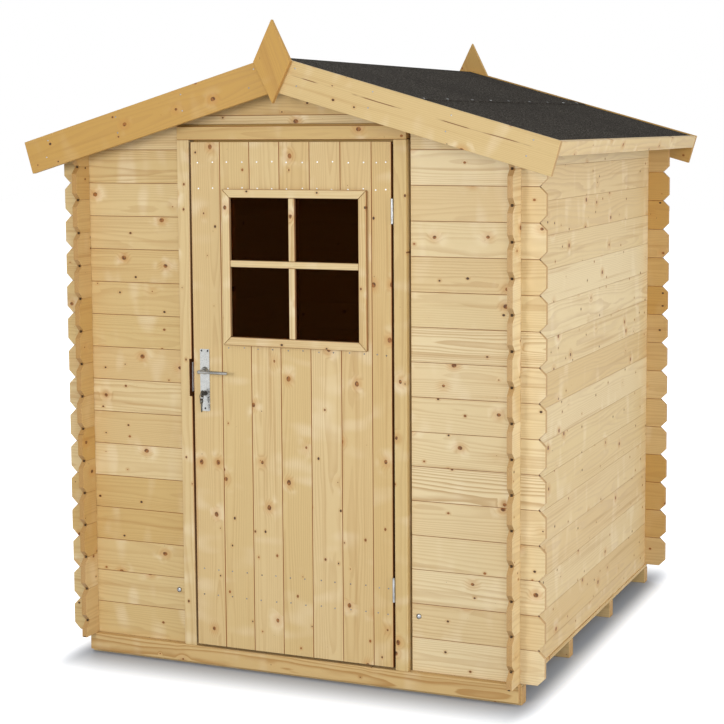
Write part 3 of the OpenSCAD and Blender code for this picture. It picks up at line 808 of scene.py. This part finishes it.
# %% Bars
bars = start_timber()
bar_r, bar_inset, bar_aside, bar_rise = 0.0225 / 2, 0.002, -0.006, 0.013
bar_x, bar_z = win_x + bar_aside, win_z + bar_rise
for y0, y1 in ((trim_low[1] + bar_inset, pane_low[1]), (pane_high[1], bead_high[1])):
    add_upright(bars, (win_x - glass_r, y0, bar_z - bar_r), (win_x + glass_r, y1, bar_z + bar_r), deep=0.4,
                gold=0.15, joint=0.4)
    for z0, z1 in ((win_z - glass_r, bar_z - bar_r), (bar_z + bar_r, win_z + glass_r)):
        add_upright(bars, (bar_x - bar_r, y0, z0), (bar_x + bar_r, y1, z1), lengthwise=1, deep=0.25,
                    gold=0.05, joint=0.6)
finish_timber("window_bars", bars, "door", [], pine, round_by=0.003)

# %% [markdown]
# ## Felt, glass and metal
# Mineral felt is dark with a fine grit of slate, so its finish is a noise as fine as the grit with a
# matching bump. The ironwork keeps the frame's own solids and only gets its metal: a soft haze in the
# roughness keeps it from looking like a mirror. The pane is glass with a brown tint, so that the closed
# room behind it stays dark under studio lamps.


# %% Felt, glass and metal finishes
def make_felt():
    finish, pen, shader = new_finish("mineral_felt")
    where = pen.add("ShaderNodeTexCoord").outputs["Object"]
    grit = pen.noise(where, 420.0)
    fleck = pen.noise(where, 170.0, 1.0)
    patch = pen.noise(where, 3.0, 3.0)
    colour = pen.mix(pen.ramp(grit, 0.35, 0.75), linear(44, 41, 38), linear(76, 72, 66))
    colour = pen.mix(pen.ramp(fleck, 0.52, 0.68, 0.0, 0.75), colour, linear(118, 112, 103))
    colour = pen.mix(pen.ramp(patch, 0.35, 0.7, 0.0, 0.35), colour, linear(52, 49, 45))
    pen.give(shader, {"Base Color": colour, "Normal": pen.bump(grit, 0.5, 0.001), "Roughness": 0.92,
                      "Specular IOR Level": 0.01})
    return finish


def make_metal(name, bright, dull, rough, metallic=1.0):
    finish, pen, shader = new_finish(name)
    where = pen.add("ShaderNodeTexCoord").outputs["Object"]
    haze = pen.noise(where, 160.0)
    smear = pen.noise(where, 38.0, 3.0)
    pen.give(shader, {"Base Color": pen.mix(pen.ramp(smear, 0.35, 0.7), bright, dull),
                      "Roughness": pen.ramp(haze, 0.3, 0.7, rough - 0.06, rough + 0.08),
                      "Metallic": metallic})
    return finish


def make_glass():
    finish, pen, shader = new_finish("window_glass")
    pen.give(shader, {"Base Color": (0.22, 0.11, 0.04, 1.0), "Roughness": 0.02, "Transmission Weight": 1.0,
                      "IOR": 1.2, "Specular Tint": (1.0, 0.36, 0.06, 1.0)})
    return finish


def paint(finish, *nodes):
    for node in nodes:
        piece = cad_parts[node]
        piece.data.materials.clear()
        piece.data.materials.append(finish)


zinc = make_metal("zinc_steel", linear(176, 178, 180), linear(140, 142, 144), 0.4)
# the key metal is dark, which paints the dark reflections of a polished key and cylinder
dark_key_metal = make_metal("dark_key_metal", linear(118, 114, 106), linear(52, 49, 45), 0.3)
paint(make_felt(), "felt_low_left", "felt_low_right", "felt_top_left", "felt_top_right")
paint(make_metal("satin_aluminium", linear(180, 180, 176), linear(172, 172, 168), 0.27), "lock_plate")
paint(make_metal("grey_satin", linear(150, 148, 143), linear(128, 126, 121), 0.3), "lever_handle")
# the strike plate is near white and barely metallic, which paints light onto it where it sits in the shade
# of its notch
paint(make_metal("strike_zinc_painted_light", linear(225, 228, 232), linear(200, 203, 208), 0.45, 0.2), "strike_plate")
paint(dark_key_metal, "lock_cylinder")
paint(zinc, "lock_case", "hinge_frame_leaves", "hinge_door_leaves")
paint(make_glass(), "window_pane")
print("frame pieces painted")

# %% [markdown]
# ## Nails, bolts and screws
# Each is a low dome with its rim on the wood. An instance on points would do, but the domes of one kind are
# written straight into one mesh, ring by ring, so each kind stays a plain mesh.

# %% Domes on a surface
to_front, to_back = (0, -1, 0), (0, 1, 0)


def start_metal():
    return {"points": [], "faces": []}


def add_dome(metal, spot, out, radius, height, sides=10, rings=2):
    """Adds a domed head: spot is the middle of its rim, out the way it faces."""
    turn = Vector(out).to_track_quat("Z", "Y").to_matrix()
    first = len(metal["points"])
    for k in range(rings):
        rise = k / rings * math.pi / 2
        ring_r = radius * math.cos(rise)
        for j in range(sides):
            a = 2 * math.pi * j / sides
            flat = Vector((ring_r * math.cos(a), ring_r * math.sin(a), height * math.sin(rise)))
            metal["points"].append(tuple(Vector(spot) + turn @ flat))
    metal["points"].append(tuple(Vector(spot) + turn @ Vector((0, 0, height))))
    for k in range(rings - 1):
        for j in range(sides):
            a, b = first + k * sides + j, first + k * sides + (j + 1) % sides
            metal["faces"].append([a, b, b + sides, a + sides])
    last, tip = first + (rings - 1) * sides, first + rings * sides
    metal["faces"] += [[last + j, last + (j + 1) % sides, tip] for j in range(sides)]
    metal["faces"].append([first + j for j in reversed(range(sides))])


def finish_metal(name, metal, body, finish, smooth=True):
    """Makes the collected metal one object that rides on a body."""
    piece, mesh = new_piece(name, metal, finish)
    mesh.polygons.foreach_set("use_smooth", [smooth] * len(mesh.polygons))
    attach(piece, body)
    print(name, "faces:", len(mesh.polygons))


# %% Nails through the door into its ledges, two a board
nail_in, nail_h, trim_drop = 0.012, 0.0009, 0.010
stray_x, stray_z = 0.003, 0.002
under_trim = trim_low[2] - trim_drop
bright_rows = [ledge_feet[2] + nail_in, ledge_feet[2] + ledge_h - nail_in]
dull_rows = [ledge_feet[0] + nail_in, ledge_feet[0] + ledge_h - nail_in, under_trim]
bright_nail = make_metal("bright_nail", linear(246, 246, 244), linear(205, 205, 204), 0.4)
dull_nail = make_metal("dull_nail", linear(150, 151, 150), linear(96, 96, 94), 0.5)
for name, rows, nail_r, finish in (("door_top_nails", bright_rows, 0.0029, bright_nail),
                                   ("door_low_nails", dull_rows, 0.0026, dull_nail)):
    nails = start_metal()
    for row_z in rows:
        for x0, x1 in zip(joints, joints[1:]):
            if row_z == under_trim and x0 == joints[0]:
                continue
            for share in (0.25, 0.75):
                x = x0 + share * (x1 - x0) + dice.uniform(-stray_x, stray_x)
                z = row_z + dice.uniform(-stray_z, stray_z)
                add_dome(nails, (x, leaf_front, z), to_front, nail_r, nail_h)
    finish_metal(name, nails, "door", finish)

# %% Bolts through the wall into the battens, and nails in the bargeboards
bolts = start_metal()
bolt_x, bolt_z, bolt_r, bolt_h = 0.439, 0.252, 0.009, 0.0055
for x in (-bolt_x, bolt_x):
    add_dome(bolts, (x, -wall_y, bolt_z), to_front, bolt_r, bolt_h, sides=20, rings=5)
bright_bolt = make_metal("bright_bolt", linear(168, 170, 172), linear(120, 122, 124), 0.16)
finish_metal("batten_bolts", bolts, "shed", bright_bolt)

barge_nails = start_metal()
barge_nail_r, barge_nail_h, stray_down = 0.0026, 0.0008, 0.02
nail_rows = (barge_top - 0.020, barge_foot + 0.038)
nail_steps = (0.09, 0.36, 0.62, 0.9)
for side in (-1, 1):
    put = on_slope(side)
    for down in nail_steps:
        for off in nail_rows:
            x, y, z = put(down + dice.uniform(-stray_down, stray_down), off, -roof_y - trim_t)
            add_dome(barge_nails, (x, y, z), to_front, barge_nail_r, barge_nail_h)
            add_dome(barge_nails, (x, roof_y + trim_t, z), to_back, barge_nail_r, barge_nail_h)
finish_metal("bargeboard_nails", barge_nails, "shed", zinc)

# %% Clout nails along the lap of the felt
clouts = start_metal()
clout_count, clout_r, clout_h = 9, 0.0045, 0.0012
clout_in, from_lap, stray_y = 0.06, 0.014, 0.03
lap_top = felt_top + hairline + felt_t
felt_seam = (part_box("felt_top_right")[1][0] - (felt_top + felt_t) * math.sin(pitch)) / math.cos(pitch)
for side in (-1, 1):
    put, slope_out = on_slope(side), (side * math.sin(pitch), 0, math.cos(pitch))
    for k in range(clout_count):
        y = -roof_y + clout_in + k * 2 * (roof_y - clout_in) / (clout_count - 1)
        spot = put(felt_seam - from_lap, lap_top, y + dice.uniform(-stray_y, stray_y))
        add_dome(clouts, spot, slope_out, clout_r, clout_h)
finish_metal("felt_clout_nails", clouts, "shed", zinc)

# %% Screws of the lock plates
screws = start_metal()
screw_r, screw_h = 0.0036, 0.0008
screw_aside, screw_down, screw_up = 0.0115, 0.006, 0.009
plate_low, plate_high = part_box("lock_plate")
lock_x = (plate_low[0] + plate_high[0]) / 2
screw_top = plate_high[2] - screw_down
for x, z in ((lock_x - screw_aside, screw_top), (lock_x + screw_aside, screw_top),
             (lock_x, plate_low[2] + screw_up)):
    for y, out in ((plate_low[1], to_front), (plate_high[1], to_back)):
        add_dome(screws, (x, y, z), out, screw_r, screw_h, sides=12)
black_screw = make_metal("black_screw", linear(22, 20, 20), linear(12, 11, 11), 0.6, 0.0)
finish_metal("lock_plate_screws", screws, "door", black_screw)

# %% [markdown]
# ## The spare key
# A second key hangs on a ring from the one in the lock. The ring is a torus of wire, and the key a flat
# outline with a thickness: a round bow with a hole and a blade with its cuts, so the light catches its edge.


# %% Shapes for the ring and the key
def add_ring(metal, middle, axis, radius, wire, turns=28, sides=8):
    """A torus of wire."""
    turn = Vector(axis).to_track_quat("Z", "Y").to_matrix()
    first = len(metal["points"])
    for k in range(turns):
        a = 2 * math.pi * k / turns
        for j in range(sides):
            b = 2 * math.pi * j / sides
            reach = radius + wire * math.cos(b)
            flat = Vector((reach * math.cos(a), reach * math.sin(a), wire * math.sin(b)))
            metal["points"].append(tuple(Vector(middle) + turn @ flat))
    for k in range(turns):
        here, there = first + k * sides, first + (k + 1) % turns * sides
        for j in range(sides):
            after = (j + 1) % sides
            metal["faces"].append([here + j, there + j, there + after, here + after])


def add_flat_ring(metal, middle, outer, inner, thick, turns=24):
    """A washer in the y and z plane: the bow of a key."""
    first = len(metal["points"])
    for k in range(turns):
        a = 2 * math.pi * k / turns
        for radius in (outer, inner):
            y, z = middle[1] + radius * math.cos(a), middle[2] + radius * math.sin(a)
            metal["points"] += [(middle[0] - thick / 2, y, z), (middle[0] + thick / 2, y, z)]
    for k in range(turns):
        a, b = first + 4 * k, first + 4 * ((k + 1) % turns)
        metal["faces"] += [[a, b, b + 1, a + 1], [a + 2, a + 3, b + 3, b + 2], [a, a + 2, b + 2, b],
                           [a + 1, b + 1, b + 3, a + 3]]


def add_plate(metal, outline, x, thick):
    """A flat plate from its outline in y and z."""
    first, count = len(metal["points"]), len(outline)
    for side in (x - thick / 2, x + thick / 2):
        metal["points"] += [(side, y, z) for y, z in outline]
    metal["faces"] += [[first + k for k in range(count)],
                       [first + count + k for k in reversed(range(count))]]
    for k in range(count):
        after = (k + 1) % count
        metal["faces"].append([first + k, first + count + k, first + count + after, first + after])


# %% Ring and spare key
keys = start_metal()
key_low, key_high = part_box("lock_cylinder")
key_z = (key_low[2] + key_high[2]) / 2
hole_in, bow_drop = 0.006, 0.006
hole_y = key_low[1] + hole_in
ring_r, wire_r, bow_r, bow_hole, key_t = 0.009, 0.0009, 0.010, 0.0035, 0.0024
ring_axis = (0.35, 1, 0)
add_ring(keys, (lock_x, hole_y, key_z - ring_r), ring_axis, ring_r, wire_r)
bow_z = key_z - 2 * ring_r - bow_drop
add_flat_ring(keys, (lock_x, hole_y, bow_z), bow_r, bow_hole, key_t)
blade_r, shoulder, tip = 0.0042, bow_r - 0.001, 0.037
cuts = ((blade_r, 0.034), (0.0026, 0.029), (blade_r, 0.025), (0.0022, 0.021), (blade_r, 0.017))
blade = [(-blade_r, shoulder), (-blade_r, 0.034), (0.0, tip), *cuts, (blade_r, shoulder)]
add_plate(keys, [(hole_y + aside, bow_z - drop) for aside, drop in blade], lock_x, key_t)
finish_metal("spare_key", keys, "door", dark_key_metal, smooth=False)

# %% [markdown]
# ## Floor, light and camera
# A pale grey floor takes the shed's real contact shadow, and a band of it round the footprint is kept
# from glowing, which paints more shadow there; beyond that band it glows white to the camera and to
# reflections, so the background stays white. The world shows white to the camera and to reflections, and
# lights the shed as an even sky. A key lamp stands nearly in the middle of the front and a wider one to its
# right, a third lights the side wall, and one behind keeps the back from going dull. A sun would cast a hard
# shadow, which a studio picture doesn't have.


# %% Floor
def seen_directly(pen):
    """One for rays from the eye, a mirror or a pane, nothing for the light that falls on the shed."""
    ray = pen.add("ShaderNodeLightPath").outputs
    mirrored = pen.math("MAXIMUM", ray["Is Glossy Ray"], ray["Is Transmission Ray"])
    return pen.math("MAXIMUM", ray["Is Camera Ray"], mirrored)


shadow_grey = (0.46, 0.49, 0.54, 1.0)
shadow_fall = (3.2, 1.25, 0.0)
shadow_reach = 0.42
ground, pen, shader = new_finish("pale_floor")
pen.tree.nodes.remove(shader)
where = pen.add("ShaderNodeTexCoord").outputs["Object"]
aside = pen.vector("ABSOLUTE", where)[0]
beyond = pen.vector("MAXIMUM", pen.vector("SUBTRACT", aside, (wall_x, wall_y, 0.0))[0])[0]
apart = pen.vector("LENGTH", pen.vector("MULTIPLY", beyond, shadow_fall)[0])["Value"]
# the white glow only starts some way out from the footprint, so a grey band of floor round the shed paints a
# shadow along with the real one
white = pen.times(seen_directly(pen), pen.ramp(apart, 0.0, shadow_reach))
matte = pen.add("ShaderNodeBsdfDiffuse", {"Color": shadow_grey}).outputs[0]
glow = pen.add("ShaderNodeEmission", {"Color": (1.0, 1.0, 1.0, 1.0), "Strength": white}).outputs[0]
both = pen.add("ShaderNodeAddShader", {0: matte, 1: glow}).outputs[0]
pen.give(pen.tree.nodes["Material Output"], {"Surface": both})
far = 30.0
corners = [(-far, -far, 0), (far, -far, 0), (far, far, 0), (-far, far, 0)]
floor, _ = new_piece("studio_floor", {"points": corners, "faces": [[0, 1, 2, 3]]}, ground)
print("floor made")

# %% Sky
world = bpy.data.worlds.new("studio")
bpy.context.scene.world = world
world.use_nodes = True
pen = Pen(world.node_tree)
sky_light, sky_seen = 0.5, 1.0
pen.give(world.node_tree.nodes["Background"],
         {"Color": (1.0, 1.0, 1.0, 1.0),
          "Strength": pen.ramp(seen_directly(pen), 0.0, 1.0, sky_light, sky_seen)})
print("sky made")


# %% Lamps
def add_lamp(name, spot, aim, size, power):
    lamp = bpy.data.lights.new(name, "AREA")
    lamp.shape = "DISK"
    lamp.size = size
    lamp.energy = power
    holder = bpy.data.objects.new(name, lamp)
    holder.location = spot
    holder.rotation_euler = (Vector(aim) - Vector(spot)).to_track_quat("-Z", "Y").to_euler()
    bpy.context.collection.objects.link(holder)
    print(name, power, "W")


door_middle = (0.0, -0.8, 1.1)
add_lamp("key_lamp", (-0.7, -5.6, 1.9), door_middle, 1.3, 82)
add_lamp("fill_lamp", (2.8, -6.6, 2.4), door_middle, 3.0, 110)
add_lamp("side_lamp", (7.0, -1.7, 2.0), (0.8, 0.0, 1.1), 3.8, 228)
add_lamp("back_lamp", (-5.0, 6.0, 3.0), (-0.4, 0.4, 1.1), 4.0, 330)
bpy.context.scene.view_settings.view_transform = "Standard"

# %% [markdown]
# The camera stands where the picture was taken from: its place, angles and focal length follow from the
# straight edges of the shed. The lens is shifted, because its axis meets the picture above the middle.

# %% Camera
camera_data = bpy.data.cameras.new("camera")
camera = bpy.data.objects.new("camera", camera_data)
bpy.context.collection.objects.link(camera)
bpy.context.scene.camera = camera
camera_spot = (2.426, -5.921, 1.827)
photo_px, focal_px, axis_row_px = 724, 1738.9, 300
yaw, dip, roll = math.radians(23.123), math.radians(5.733), math.radians(0.378)
ahead = Vector((-math.sin(yaw) * math.cos(dip), math.cos(yaw) * math.cos(dip), -math.sin(dip)))
level = Vector((math.cos(yaw), math.sin(yaw), 0.0))
plumb = ahead.cross(level)
right = math.cos(roll) * level + math.sin(roll) * plumb
down = -math.sin(roll) * level + math.cos(roll) * plumb
turn = Matrix((right, -down, -ahead)).transposed().to_4x4()
camera.matrix_world = Matrix.Translation(camera_spot) @ turn
camera_data.sensor_width = 36.0
camera_data.lens = focal_px / photo_px * camera_data.sensor_width
camera_data.shift_y = (axis_row_px - photo_px / 2) / photo_px
camera_data.clip_end = 200.0
print("camera at", [round(c, 2) for c in camera.location], "lens", round(camera_data.lens, 1))
